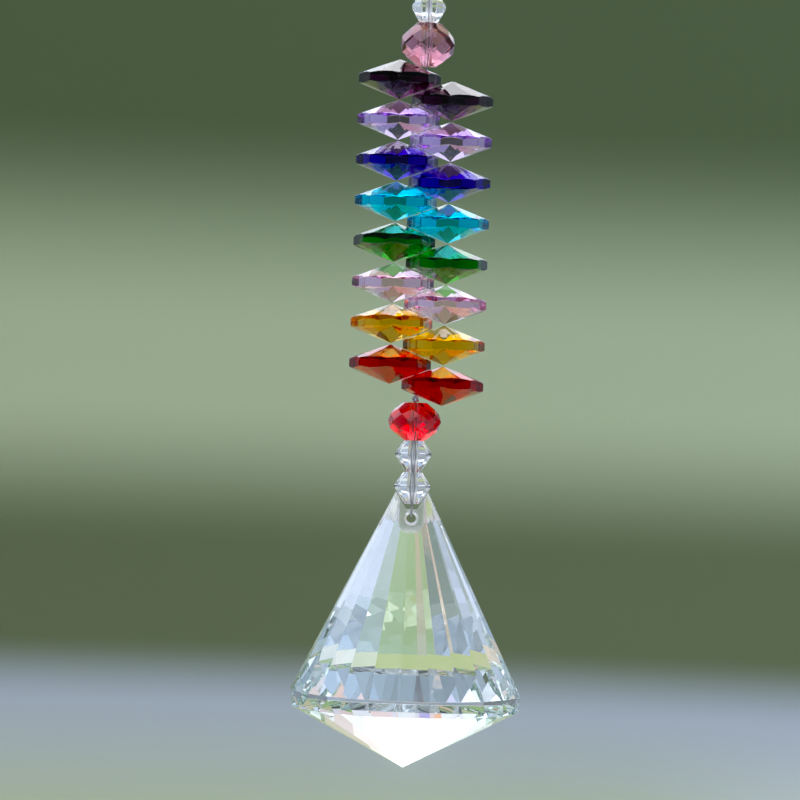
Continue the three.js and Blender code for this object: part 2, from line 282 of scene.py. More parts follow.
def stage_shape():
    """The floor, the sweep and the wall, with their faces turned inwards."""
    shape = bmesh.new()
    bmesh.ops.create_circle(shape, cap_ends=True, radius=STAGE_RADIUS, segments=STAGE_SIDES)
    raised = bmesh.ops.extrude_edge_only(shape, edges=shape.edges[:])
    wall_top = [v for v in raised["geom"] if isinstance(v, bmesh.types.BMVert)]
    bmesh.ops.translate(shape, verts=wall_top, vec=(0, 0, UNCUT_WALL))
    foot = [e for e in shape.edges if all(v.co.z == 0 for v in e.verts)]
    bmesh.ops.bevel(
        shape, geom=foot, offset=STAGE_SWEEP, affect="EDGES", segments=SWEEP_STEPS, profile=0.5, material=-1
    )
    bmesh.ops.translate(shape, verts=shape.verts, vec=(0, 0, STAGE_FLOOR))
    wall_lean = Vector((0, WALL_TOP_FRONT - WALL_TOP_BEHIND, 2 * STAGE_RADIUS))
    wall_middle = Vector((0, 0, (WALL_TOP_FRONT + WALL_TOP_BEHIND) / 2))
    whole = shape.verts[:] + shape.edges[:] + shape.faces[:]
    bmesh.ops.bisect_plane(shape, geom=whole, plane_co=wall_middle, plane_no=wall_lean, clear_outer=True)
    bmesh.ops.recalc_face_normals(shape, faces=shape.faces)
    bmesh.ops.reverse_faces(shape, faces=shape.faces)
    mesh = bpy.data.meshes.new("stage")
    shape.to_mesh(mesh)
    shape.free()
    for face in mesh.polygons:
        face.use_smooth = True
    return mesh


stage_mesh = stage_shape()
stage_mesh.materials.append(stage_paint())
stage = new_object("stage", stage_mesh)
print("stage:", len(stage_mesh.polygons), "faces")

# %% [markdown]
# ## Light
# Lamps would show in the glass as hard little shapes, so one broad dome of soft light does all the
# work. It is white and brightest behind the strand, a cool blue on the left, a dim rose on the right
# and dim in front, as from one large window, so that the sides of each stone differ. Cut glass also
# splits light into colours, its fire, which the renderer does not do. A soft play of colours overhead,
# where only the sharpest bends look, stands in for it. Light crosses many facets before it reaches the
# camera, so paths may be long.

# %% Light
DOME_RIM = (1.35, 1.45, 1.65, 1)
DOME_RIM_EDGE = (UP, 0.30, 0.50)
DOME_LEFT = (1.35, 1.50, 1.80, 1)
DOME_LEFT_EDGE = (RIGHT, -0.55, -0.10)
DOME_BEHIND = (2.60, 2.65, 2.75, 1)
DOME_RIGHT = (0.72, 0.62, 0.62, 1)
DOME_RIGHT_EDGE = (RIGHT, 0.02, 0.45)
DOME_FRONT_LEFT = (0.60, 0.72, 0.88, 1)
DOME_FRONT_RIGHT = (0.35, 0.42, 0.42, 1)
DOME_FRONT_MIDDLE = (RIGHT, -0.15, 0.15)
DOME_FRONT_EDGE = (FRONT, 0.35, 0.75)
FIRE_EDGE = (UP, 0.78, 0.95)
FIRE_SCALE = 6
FIRE = {
    0.38: (0.52, 0.46, 0.84, 1),
    0.46: (0.92, 0.94, 1.00, 1),
    0.53: (0.78, 0.82, 1.05, 1),
    0.60: (1.05, 0.60, 0.38, 1),
}
LONGEST_PATH = 80


def fire_overhead(tree, skyward):
    """Soft patches of light in the hues of the stones' fire."""
    patches = tree.nodes.new("ShaderNodeTexNoise")
    patches.inputs["Scale"].default_value = FIRE_SCALE
    patches.inputs["Detail"].default_value = 0
    hues = tree.nodes.new("ShaderNodeValToRGB")
    stops = hues.color_ramp.elements
    stops.remove(stops[1])
    for index, (share, hue) in enumerate(FIRE.items()):
        stop = stops.new(share) if index else stops[0]
        stop.position = share
        stop.color = hue
    tree.links.new(skyward, patches.inputs["Vector"])
    tree.links.new(patches.outputs["Fac"], hues.inputs["Fac"])
    return hues.outputs["Color"]


def light_dome():
    """A world whose light changes softly with direction."""
    world = bpy.data.worlds.new("light dome")
    world.use_nodes = True
    tree = world.node_tree
    skyward = tree.nodes.new("ShaderNodeTexCoord").outputs["Generated"]
    upper = grade(tree, skyward, DOME_LEFT_EDGE, DOME_LEFT, DOME_BEHIND)
    upper = grade(tree, skyward, DOME_RIGHT_EDGE, upper, DOME_RIGHT)
    dome = grade(tree, skyward, DOME_RIM_EDGE, DOME_RIM, upper)
    front = grade(tree, skyward, DOME_FRONT_MIDDLE, DOME_FRONT_LEFT, DOME_FRONT_RIGHT)
    dome = grade(tree, skyward, DOME_FRONT_EDGE, dome, front)
    dome = grade(tree, skyward, FIRE_EDGE, dome, fire_overhead(tree, skyward))
    tree.links.new(dome, tree.nodes["Background"].inputs["Color"])
    return world


scene.world = light_dome()
scene.cycles.max_bounces = LONGEST_PATH
scene.cycles.transmission_bounces = LONGEST_PATH
scene.cycles.glossy_bounces = LONGEST_PATH
scene.cycles.caustics_reflective = False
scene.cycles.caustics_refractive = False
scene.cycles.use_denoising = True
scene.view_settings.view_transform = "Standard"
print("dome:", DOME_BEHIND[:3], "behind the strand,", len(FIRE), "hues overhead")

# %% [markdown]
# ## Cutting tools
# A gem cutter starts from a rough blank and grinds one flat after another, ring by ring. The corners
# of a stone could be worked out by trigonometry, but grinding finds them by itself and keeps every
# facet flat. bisect_plane takes away what lies outside a plane, and the open cut is then closed with
# one face. A ring of facets is given by two points of the stone's profile. Stones are cut in
# millimetres about their own middle, and made metres when they go on the strand.

# %% Cutting tools
SNAP = 1e-4
BLANK_SIDES = 16


def rough_blank(radius, bottom, top):
    """A round blank of glass between two heights."""
    stone = bmesh.new()
    bmesh.ops.create_cone(
        stone, cap_ends=True, segments=BLANK_SIDES, radius1=radius, radius2=radius, depth=top - bottom
    )
    bmesh.ops.translate(stone, verts=stone.verts, vec=(0, 0, (top + bottom) / 2))
    return stone


def grind_flat(stone, point, outward):
    """Take away the glass outside one plane, and close the cut."""
    glass = stone.verts[:] + stone.edges[:] + stone.faces[:]
    cut = bmesh.ops.bisect_plane(
        stone, geom=glass, dist=SNAP, plane_co=point, plane_no=outward, clear_outer=True
    )
    edges = [e for e in cut["geom_cut"] if isinstance(e, bmesh.types.BMEdge)]
    if any(e.is_boundary for e in edges):
        bmesh.ops.contextual_create(stone, geom=edges)


def grind_ring(stone, count, turn, upper, lower):
    """A ring of facets through two (radius, height) points of the profile, the upper one first."""
    slope = Vector((upper[1] - lower[1], lower[0] - upper[0])).normalized()
    for facet in range(count):
        around = math.radians(turn + 360 * facet / count)
        outward = Vector((slope.x * math.cos(around), slope.x * math.sin(around), slope.y))
        point = Vector((lower[0] * math.cos(around), lower[0] * math.sin(around), lower[1]))
        grind_flat(stone, point, outward)


def grind_upright(stone, count, turn, apothem):
    """A ring of upright facets."""
    grind_ring(stone, count, turn, (apothem, 1), (apothem, -1))


def grind_both_sides(stone, count, turn, upper, lower):
    """The same ring over and under the stone's middle."""
    grind_ring(stone, count, turn, upper, lower)
    grind_ring(stone, count, turn, (lower[0], -lower[1]), (upper[0], -upper[1]))


def soften_edges(stone, edges, width):
    """Polishing leaves a hair-fine flat along each edge, which catches the light."""
    bmesh.ops.bevel(
        stone, geom=edges, offset=width, affect="EDGES", segments=1, profile=0.5, material=-1
    )


trial = rough_blank(radius=2, bottom=-1, top=1)
grind_upright(trial, count=6, turn=0, apothem=1)
print("trial stone: six sides ground,", len(trial.faces), "faces")
trial.free()

# %% [markdown]
# ## Drilling
# A drill leaves a grey, ground wall, quite unlike the polished facets. A hole could be bridged by hand
# from face to face, but it crosses many facets, so the Boolean modifier takes the bit's shape out of
# the stone. The bit's faces carry a mark, "ground", that stays on the walls it leaves, so the finish
# can tell them from the polish. A pocket ground with a finer wheel has a lower mark, and a bore that
# was smoothed in the fire has the lowest.

# %% Drilling
GROUND = "ground"
DRILLED = 1.0
FROSTED = 0.7
FIRE_SMOOTHED = 0.35
DRILL_SIDES = 32
CREASE = math.radians(30)


def as_mesh(name, shape, ground):
    """A bmesh as a mesh whose faces all carry the same ground mark."""
    mesh = bpy.data.meshes.new(name)
    bmesh.ops.recalc_face_normals(shape, faces=shape.faces)
    shape.to_mesh(mesh)
    shape.free()
    mark = mesh.attributes.new(GROUND, "FLOAT", "FACE")
    mark.data.foreach_set("value", [ground] * len(mesh.polygons))
    return mesh


def smooth_bores(mesh):
    """Shade the ground walls smooth, with a crease where they meet the facets."""
    for face, mark in zip(mesh.polygons, mesh.attributes[GROUND].data):
        face.use_smooth = mark.value > 0
    creased = bmesh.new()
    creased.from_mesh(mesh)
    for edge in creased.edges:
        edge.smooth = edge.calc_face_angle(math.pi) < CREASE
    creased.to_mesh(mesh)
    creased.free()


def drill_out(name, stone, bits):
    """The stone's mesh with the shape of each bit taken out of it, given as (bit, ground mark)."""
    solid = new_object(name, as_mesh(name, stone, 0.0))
    cutters = []
    for bit, ground in bits:
        cutter = new_object("bit", as_mesh("bit", bit, ground))
        cut = solid.modifiers.new("drill", "BOOLEAN")
        cut.operation = "DIFFERENCE"
        cut.solver = "EXACT"
        cut.object = cutter
        cutters.append(cutter)
    seen = solid.evaluated_get(bpy.context.evaluated_depsgraph_get())
    mesh = bpy.data.meshes.new_from_object(seen)
    for used in [solid, *cutters]:
        bpy.data.objects.remove(used)
    smooth_bores(mesh)
    return mesh


def drill_bit(radius, reach, x=0):
    """A straight bit along the stone's height."""
    bit = bmesh.new()
    bmesh.ops.create_cone(
        bit, cap_ends=True, segments=DRILL_SIDES, radius1=radius, radius2=radius, depth=2 * reach
    )
    bmesh.ops.translate(bit, verts=bit.verts, vec=(x, 0, 0))
    return bit


# %% [markdown]
# ## Polish
# Polishing is never perfect: a ripple of a thousandth of a millimetre or two bends what each facet
# shows, and here and there the polish is a little duller. Both could be modelled in the mesh, but a
# noise through a Bump node and another in the roughness give them to every stone without more faces.
# The ground mark sets how rough the drilled walls are.

# %% Polish
RIPPLE_SCALE = 450
RIPPLE_HEIGHT = 1.5e-6
WEAR_SCALE = 260
WEAR_START = 0.5
DULLEST_POLISH = 0.015
GROUND_ROUGHNESS = 0.5


def add_ripple(tree, place, shader):
    """Bend the polish by a shallow ripple."""
    ripple = tree.nodes.new("ShaderNodeTexNoise")
    ripple.inputs["Scale"].default_value = RIPPLE_SCALE
    ripple.inputs["Detail"].default_value = 0
    bend = tree.nodes.new("ShaderNodeBump")
    bend.inputs["Distance"].default_value = RIPPLE_HEIGHT
    tree.links.new(place, ripple.inputs["Vector"])
    tree.links.new(ripple.outputs["Fac"], bend.inputs["Height"])
    tree.links.new(bend.outputs["Normal"], shader.inputs["Normal"])


def add_wear(tree, place, shader):
    """Dull the polish here and there, and far more where the stone is marked as ground."""
    wear = tree.nodes.new("ShaderNodeTexNoise")
    wear.inputs["Scale"].default_value = WEAR_SCALE
    dull = tree.nodes.new("ShaderNodeMapRange")
    dull.inputs["From Min"].default_value = WEAR_START
    dull.inputs["To Max"].default_value = DULLEST_POLISH
    mark = tree.nodes.new("ShaderNodeAttribute")
    mark.attribute_name = GROUND
    polish = tree.nodes.new("ShaderNodeMapRange")
    polish.inputs["To Max"].default_value = GROUND_ROUGHNESS
    tree.links.new(place, wear.inputs["Vector"])
    tree.links.new(wear.outputs["Fac"], dull.inputs["Value"])
    tree.links.new(dull.outputs["Result"], polish.inputs["To Min"])
    tree.links.new(mark.outputs["Fac"], polish.inputs["Value"])
    tree.links.new(polish.outputs["Result"], shader.inputs["Roughness"])


print("polish: a ripple of", RIPPLE_HEIGHT / MM, "mm, ground walls of roughness", GROUND_ROUGHNESS)

# %% [markdown]
# ## Crystal
# Coloured crystal is clear glass with metal salts melted through it, so its colour grows with the
# length of glass that the light has crossed. Colour on the surface would be the same in a thick stone
# and a thin one. A plain Volume Absorption grows as the real colour does, and leaves the surface a
# clear, colourless polish. Each colour is given as what ten millimetres of glass lets by.

# %% Crystal
CRYSTAL_IOR = 1.53
TINT_DEPTH = 10 * MM
TINTS = {
    "clear": (0.980, 0.988, 0.985),
    "mauve": (0.50, 0.20, 0.26),
    "purple": (0.05, 0.006, 0.035),
    "lilac": (0.76, 0.60, 0.88),
    "blue": (0.08, 0.05, 0.47),
    "aqua": (0.07, 0.70, 0.85),
    "green": (0.006, 0.28, 0.010),
    "pink": (0.90, 0.70, 0.81),
    "gold": (0.87, 0.57, 0.09),
    "red": (0.64, 0.0003, 0.0008),
    "bright red": (0.82, 0.030, 0.034),
}


def add_tint(tree, tint):
    """Let the glass take light up on its way, down to the tint after the tint's depth."""
    loss = [-math.log(share) / TINT_DEPTH for share in tint]
    density = max(loss)
    inside = tree.nodes.new("ShaderNodeVolumeAbsorption")
    inside.inputs["Color"].default_value = [1 - part / density for part in loss] + [1]
    inside.inputs["Density"].default_value = density
    tree.links.new(inside.outputs["Volume"], tree.nodes["Material Output"].inputs["Volume"])


def crystal(name, tint):
    """Polished glass of one colour, ground and grey where it was drilled."""
    glass = bpy.data.materials.new(name)
    glass.use_nodes = True
    tree = glass.node_tree
    shader = tree.nodes["Principled BSDF"]
    shader.inputs["Base Color"].default_value = (1, 1, 1, 1)
    shader.inputs["Transmission Weight"].default_value = 1.0
    shader.inputs["IOR"].default_value = CRYSTAL_IOR
    place = tree.nodes.new("ShaderNodeTexCoord").outputs["Object"]
    add_ripple(tree, place, shader)
    add_wear(tree, place, shader)
    add_tint(tree, tint)
    return glass


CRYSTALS = {name: crystal(f"{name} crystal", tint) for name, tint in TINTS.items()}
print("crystals:", ", ".join(CRYSTALS))

# %% [markdown]
# ## Places on the strand
# The construction model knows where every piece hangs, so a stone is cut once, copied, and moved to the
# place of its plain solid. An object could be moved instead, but then a noise on Object coordinates
# would be the same on every bead. So the move goes into the mesh, and the object stays at the origin.

# %% Places on the strand
def hang(node, mesh, material):
    """Put a finished piece on the strand, in the place of its plain solid."""
    mesh.materials.clear()
    mesh.materials.append(material)
    piece = new_object(f"finished_{node}", mesh)
    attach(piece, "root")
    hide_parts(node)


def middle(node):
    """The height of a piece's middle, in metres."""
    low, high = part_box(node)
    return (low.z + high.z) / 2


def on_strand(mesh, height, turn=0.0, out=0.0, roll=0.0):
    """A copy of a stone in metres: rolled about X, moved out along X and turned about the wire."""
    placed = mesh.copy()
    placed.transform(
        Matrix.Translation((0, 0, height))
        @ Matrix.Rotation(math.radians(turn), 4, "Z")
        @ Matrix.Translation((out * MM, 0, 0))
        @ Matrix.Rotation(math.radians(roll), 4, "X")
        @ Matrix.Scale(MM, 4)
    )
    return placed


# %% [markdown]
# ## Octagon beads
# Each octagon is two low points back to back, with a star of eight facets at each point, a triangle
# down to each side, and a thin girdle. One hole near a corner lets it stick out from the wire. All
# sixteen are the same cut, so one is made and hung in eight colours. The beads hang loose, so each is
# turned a little on the wire and its front edge dips a little.

# %% Octagon beads
FACETS = 8
HALF_FACET = 180 / FACETS
HALF_FACET_COS = math.cos(math.radians(HALF_FACET))
OCTAGON_APOTHEM = 7.0
OCTAGON_HALF = 3.68
CORNER_EDGE = 0.742
SIDE_EDGE = 1.0
STAR_RADIUS = 2.75
HOLE_OFFSET = 4.9
BEAD_BORE = 0.65
EDGE_POLISH = 0.06


def octagon_bead():
    """One octagon about its own middle, a corner on the X axis and the bore on its -X side."""
    corner_radius = OCTAGON_APOTHEM / HALF_FACET_COS
    point_slope = (OCTAGON_HALF - CORNER_EDGE) / corner_radius
    star_height = OCTAGON_HALF - point_slope * HALF_FACET_COS * STAR_RADIUS
    star = (STAR_RADIUS, star_height)
    stone = rough_blank(2 * OCTAGON_APOTHEM, -OCTAGON_HALF, OCTAGON_HALF)
    grind_upright(stone, FACETS, HALF_FACET, OCTAGON_APOTHEM)
    grind_both_sides(stone, FACETS, 0, (0, OCTAGON_HALF), (corner_radius, CORNER_EDGE))
    grind_both_sides(stone, FACETS, HALF_FACET, star, (OCTAGON_APOTHEM, SIDE_EDGE))
    soften_edges(stone, stone.edges[:], EDGE_POLISH)
    bit = drill_bit(BEAD_BORE, 2 * OCTAGON_HALF, -HOLE_OFFSET)
    return drill_out("octagon", stone, [(bit, FIRE_SMOOTHED)])


OCTAGONS = {
    "purple": {"left": (-1.5, 0), "right": (-5, 2)},
    "lilac": {"left": (1.5, 1.5), "right": (-5, 1)},
    "blue": {"left": (3, 1), "right": (-5.5, 4.5)},
    "aqua": {"left": (5, 1.5), "right": (2, 0)},
    "green": {"left": (-4, -4), "right": (4, 0)},
    "pink": {"left": (2, 0), "right": (-1.5, -3.5)},
    "gold": {"left": (5, -4), "right": (2, -1)},
    "red": {"left": (-3, -3), "right": (-3.5, -5)},
}
SIDES = {"left": (180, -1), "right": (0, 1)}
octagon = octagon_bead()
for colour, pair in OCTAGONS.items():
    for side, (turn, dip) in pair.items():
        node = f"octagon_{colour}_{side}"
        facing, dip_sign = SIDES[side]
        placed = on_strand(octagon, middle(node), facing + turn, HOLE_OFFSET, dip_sign * dip)
        hang(node, placed, CRYSTALS[colour])
print("octagon:", len(octagon.polygons), "faces, hung", 2 * len(OCTAGONS), "times")

# %% [markdown]
# ## Rondelles
# A fat ring of facets: a belt of upright lozenges, kites over and under the belt's corners, and
# facets that run in to a small flat round the bore. A spun profile would come out round, and a rondelle
# is all flats, so it is ground too. The red one is of a brighter glass than the red octagons.

# %% Rondelles
RONDELLE_BORE = 0.75
MAUVE_TURN = 8
RED_TURN = 12.5


def rondelle(apothem, half, upper_flat, lower_flat, belt):
    """One rondelle about its own middle."""
    corner_radius = apothem / HALF_FACET_COS
    kite = (apothem * HALF_FACET_COS, belt)
    stone = rough_blank(2 * apothem, -half, half)
    grind_upright(stone, FACETS, 0, apothem)
    grind_both_sides(stone, FACETS, HALF_FACET, kite, (corner_radius, 0))
    grind_ring(stone, FACETS, 0, (upper_flat, half), (apothem, belt))
    grind_ring(stone, FACETS, 0, (apothem, -belt), (lower_flat, -half))
    soften_edges(stone, stone.edges[:], EDGE_POLISH)
    return drill_out("rondelle", stone, [(drill_bit(RONDELLE_BORE, 2 * half), FIRE_SMOOTHED)])


mauve = rondelle(apothem=4.78, half=4.0, upper_flat=2.1, lower_flat=1.75, belt=1.5)
red = rondelle(apothem=4.6, half=3.5, upper_flat=2.0, lower_flat=1.8, belt=1.4)
RONDELLES = {
    "mauve": (mauve, MAUVE_TURN, CRYSTALS["mauve"]),
    "red": (red, RED_TURN, CRYSTALS["bright red"]),
}
for colour, (stone, turn, glass) in RONDELLES.items():
    node = f"{colour}_rondelle"
    hang(node, on_strand(stone, middle(node), turn), glass)
print("rondelles:", len(mauve.polygons), "and", len(red.polygons), "faces")

# %% [markdown]
# ## Bicones
# The small clear spacers are two eight-sided cones base to base, with a thin belt between them. Two
# cones could be joined, but three rings of the same tools do it. The lower cone of two of them is the
# longer one, so they are placed by their top and not by their middle. Their bores are left as drilled,
# which is what makes the wire in them look like a pale core.

# %% Bicones
BICONE_WAIST = 3.1
BICONE_BELT = 0.25
TOP_BICONE_ABOVE = 2.7
LOW_BICONE_ABOVE = 2.55


def bicone(above, below, upper_flat, lower_flat, turn):
    """One bicone, measured from the middle of its waist."""
    belt_top = (BICONE_WAIST, BICONE_BELT)
    belt_bottom = (BICONE_WAIST, -BICONE_BELT)
    stone = rough_blank(2 * BICONE_WAIST, -below, above)
    grind_ring(stone, FACETS, turn, (upper_flat, above), belt_top)
    grind_ring(stone, FACETS, turn, belt_top, belt_bottom)
    grind_ring(stone, FACETS, turn, belt_bottom, (lower_flat, -below))
    soften_edges(stone, stone.edges[:], EDGE_POLISH)
    return drill_out("bicone", stone, [(drill_bit(BEAD_BORE, above + below), DRILLED)])


top_bicone = bicone(TOP_BICONE_ABOVE, below=2.7, upper_flat=1.6, lower_flat=1.75, turn=0)
low_bicone = bicone(LOW_BICONE_ABOVE, below=3.25, upper_flat=1.65, lower_flat=1.3, turn=HALF_FACET)
BICONES = {
    "top_bicone": (top_bicone, TOP_BICONE_ABOVE),
    "upper_bicone": (low_bicone, LOW_BICONE_ABOVE),
    "lower_bicone": (low_bicone, LOW_BICONE_ABOVE),
}
for node, (stone, above) in BICONES.items():
    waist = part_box(node)[1].z - above * MM
    hang(node, on_strand(stone, waist), CRYSTALS["clear"])
print("bicones:", len(top_bicone.polygons), "and", len(low_bicone.polygons), "faces")

# %% [markdown]
# ## Bits for the pendant's top
# The pendant's top is ground to a thin web: a pocket in front and behind, a mouth that the last bicone
# sits in, and the hole that the wire goes through. One joined cutter would leave a single finish, so
# each is a bit of its own shape, and the pockets and the mouth are marked as frosted and the hole as
# drilled. Every bit stands a little out of the stone, to leave no skin over the cut.

# %% Bits for the pendant's top
GIRDLE_APOTHEM = 21.0
CROWN_HEIGHT = 36.9
SPARE = 1
WEB_HALF = 1.7
WEB_TOP = 33.6
HOLE_RADIUS = 0.875
HOLE_HEIGHT = 32.05
HOLE_CHAMFER = 0.45
HOLE_STEPS = 40
POCKET_HALF_WIDTH = 2.25
POCKET_BOTTOM = 29.6
POCKET_CORNER = 1.6
CORNER_STEPS = 8
NOTCH_FLOOR = 1.0
NOTCH_MOUTH = 3.0
BIT_TOP = CROWN_HEIGHT + SPARE


def pocket_bit(side):
    """A round-cornered slab, from the web's face out through the crown, in front or behind."""
    out = side * (WEB_HALF + GIRDLE_APOTHEM / 2)
    bit = bmesh.new()
    bmesh.ops.create_cube(bit, size=1)
    bmesh.ops.scale(
        bit, verts=bit.verts, vec=(2 * POCKET_HALF_WIDTH, GIRDLE_APOTHEM, BIT_TOP - POCKET_BOTTOM)
    )
    low = min(v.co.z for v in bit.verts)
    bottom = [e for e in bit.edges if all(v.co.z == low for v in e.verts)]
    under = [e for e in bottom if e.verts[0].co.x == e.verts[1].co.x]
    bmesh.ops.bevel(
        bit,
        geom=under,
        offset=POCKET_CORNER,
        affect="EDGES",
        segments=CORNER_STEPS,
        profile=0.5,
        material=-1,
    )
    bmesh.ops.translate(bit, verts=bit.verts, vec=(0, out, (BIT_TOP + POCKET_BOTTOM) / 2))
    return bit


def mouth_bit():
    """A wedge across the crown's top, down to the web."""
    rise = (NOTCH_MOUTH - NOTCH_FLOOR) / (CROWN_HEIGHT - WEB_TOP)
    bit = bmesh.new()
    bmesh.ops.create_cube(bit, size=1)
    bmesh.ops.scale(bit, verts=bit.verts, vec=(1, 2 * GIRDLE_APOTHEM, BIT_TOP - WEB_TOP))
    bmesh.ops.translate(bit, verts=bit.verts, vec=(0, 0, (BIT_TOP + WEB_TOP) / 2))
    for corner in bit.verts:
        half = NOTCH_FLOOR + rise * (corner.co.z - WEB_TOP)
        corner.co.x = math.copysign(half, corner.co.x)
    return bit


def hole_bit():
    """The drill that goes through the web along Y, flared at each face."""
    flare = HOLE_RADIUS + HOLE_CHAMFER
    reach = 2 * WEB_HALF
    bit = bmesh.new()
    profile = [
        (0, -reach),
        (flare, -reach),
        (flare, -WEB_HALF),
        (HOLE_RADIUS, HOLE_CHAMFER - WEB_HALF),
        (HOLE_RADIUS, WEB_HALF - HOLE_CHAMFER),
        (flare, WEB_HALF),
        (flare, reach),
        (0, reach),
    ]
    corners = [bit.verts.new((radius, along, 0)) for radius, along in profile]
    edges = [bit.edges.new(pair) for pair in zip(corners, corners[1:])]
    bmesh.ops.spin(
        bit,
        geom=corners + edges,
        cent=(0, 0, 0),
        axis=(0, 1, 0),
        angle=2 * math.pi,
        steps=HOLE_STEPS,
        use_merge=True,
    )
    bmesh.ops.remove_doubles(bit, verts=bit.verts, dist=SNAP)
    bmesh.ops.translate(bit, verts=bit.verts, vec=(0, 0, HOLE_HEIGHT))
    return bit


print("pendant's web:", 2 * WEB_HALF, "mm thick, with a hole", 2 * HOLE_RADIUS, "mm across")

# %% [markdown]
# ## Pendant
# The pendant is one heavy piece of clear glass. Twenty-four crown facets run down to a girdle, and as
# many again to a point. It is ground ring by ring as the beads are, with finer edges, and it is placed
# by its lowest point, where the plain solid ends too.

# %% Pendant
PENDANT_SIDES = 24
PENDANT_TURN = 4.75
PENDANT_BLANK = 1.2 * GIRDLE_APOTHEM
PENDANT_POLISH = 0.02
GIRDLE_HEIGHT = 2.9
CROWN_TOP = 3.0
PAVILION_HEIGHT = 11.1


def pendant_drop():
    """The pendant, measured from the top of its girdle."""
    tip = -GIRDLE_HEIGHT - PAVILION_HEIGHT
    girdle_top = (GIRDLE_APOTHEM, 0)
    girdle_bottom = (GIRDLE_APOTHEM, -GIRDLE_HEIGHT)
    stone = rough_blank(PENDANT_BLANK, tip - SPARE, CROWN_HEIGHT)
    grind_ring(stone, PENDANT_SIDES, PENDANT_TURN, (CROWN_TOP, CROWN_HEIGHT), girdle_top)
    grind_ring(stone, PENDANT_SIDES, PENDANT_TURN, girdle_top, girdle_bottom)
    grind_ring(stone, PENDANT_SIDES, PENDANT_TURN, girdle_bottom, (0, tip))
    soften_edges(stone, stone.edges[:], PENDANT_POLISH)
    frosted = [(bit, FROSTED) for bit in (pocket_bit(-1), pocket_bit(1), mouth_bit())]
    return drill_out("pendant", stone, [*frosted, (hole_bit(), DRILLED)])


pendant = pendant_drop()
pendant_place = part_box("pendant")[0].z + (GIRDLE_HEIGHT + PAVILION_HEIGHT) * MM
hang("pendant", on_strand(pendant, pendant_place), CRYSTALS["clear"])
print("pendant:", len(pendant.polygons), "faces")

# %% [markdown]
# ## Wire route
# One steel beading wire carries everything: a loop to hang it by, down through every bead, through
# the pendant's hole and back up to its crimp. The route is the construction model's own, a list of
# points in millimetres, with a Bezier curve from each point to the next.

# %% Wire route
WIRE_RADIUS = 0.2
WIRE_STEP = 0.2
STRAND_OFFSET = 0.27
STRAND_END = -82
LOOP_RADIUS = 3.9
LOOP_ANGLES = range(-30, 211, 30)
TAIL = [(STRAND_OFFSET, -12.85), (STRAND_OFFSET, -11.15), (1.3, -9.15)]
NECK = [(-1.3, -9.15), (-STRAND_OFFSET, -11.15), (-STRAND_OFFSET, -13.15)]
STRAND = [(0, -15.15), (0, -16), (0, STRAND_END), (0, STRAND_END - 1.5)]
HAIRPIN_START = (STRAND_OFFSET, 4.5)
HAIRPIN = [
    (STRAND_OFFSET, 14),
    (STRAND_OFFSET, 25.4),
    (0.42, 26.08),
    (0.95, 26.29),
    (1.8, 26.31),
    (2.25, 26.8),
    (2.2, 27.3),
    (1.6, 27.62),
]
HAIRPIN_LOWEST = (0, 27.68)
HAIRPIN_END = (STRAND_OFFSET, 5.9)


def wire_route():
    """The wire's points in millimetres: its tail, the loop, the strand and the hairpin below."""
    loop = []
    for degrees in LOOP_ANGLES:
        angle = math.radians(degrees)
        height = WIRE_RADIUS - LOOP_RADIUS + LOOP_RADIUS * math.sin(angle)
        loop.append((LOOP_RADIUS * math.cos(angle), height))
    down = [HAIRPIN_START, *HAIRPIN]
    back = [HAIRPIN_LOWEST, *reversed(HAIRPIN), HAIRPIN_END]
    upper = [(across, 0, height) for across, height in TAIL + loop + NECK + STRAND]
    forth = [(0, -out, STRAND_END - drop) for out, drop in down]
    return upper + forth + [(0, out, STRAND_END - drop) for out, drop in back]


def smooth_run(points, step):
    """Points a step apart on a smooth curve through the route's points."""
    route = [Vector(point) for point in points]
    run = []
    for index in range(len(route) - 1):
        start, stop = route[index : index + 2]
        before = route[max(index - 1, 0)]
        after = route[min(index + 2, len(route) - 1)]
        reach = (stop - start).length / 3
        leaving = start + reach * (stop - before).normalized()
        arriving = stop - reach * (after - start).normalized()
        count = max(2, round(3 * reach / step))
        run += interpolate_bezier(start, leaving, arriving, stop, count + 1)[:-1]
    return [*run, route[-1]]


wire_run = smooth_run(wire_route(), WIRE_STEP)
print("wire's run:", len(wire_run), "points")

# %% [markdown]
# ## Bare metal
# The wire is drawn steel and the crimps are plated, both without paint. One even grey would look like
# plastic, so a fine noise on Object coordinates moves the colour and the gloss a little from place to
# place.

# %% Bare metal
GRAIN_DETAIL = 4
GLOSS_SPREAD = 0.3
STEEL_DARK = (0.31, 0.32, 0.33, 1)
STEEL_LIGHT = (0.48, 0.49, 0.50, 1)
PLATE_DARK = (0.42, 0.42, 0.43, 1)
PLATE_LIGHT = (0.72, 0.72, 0.73, 1)


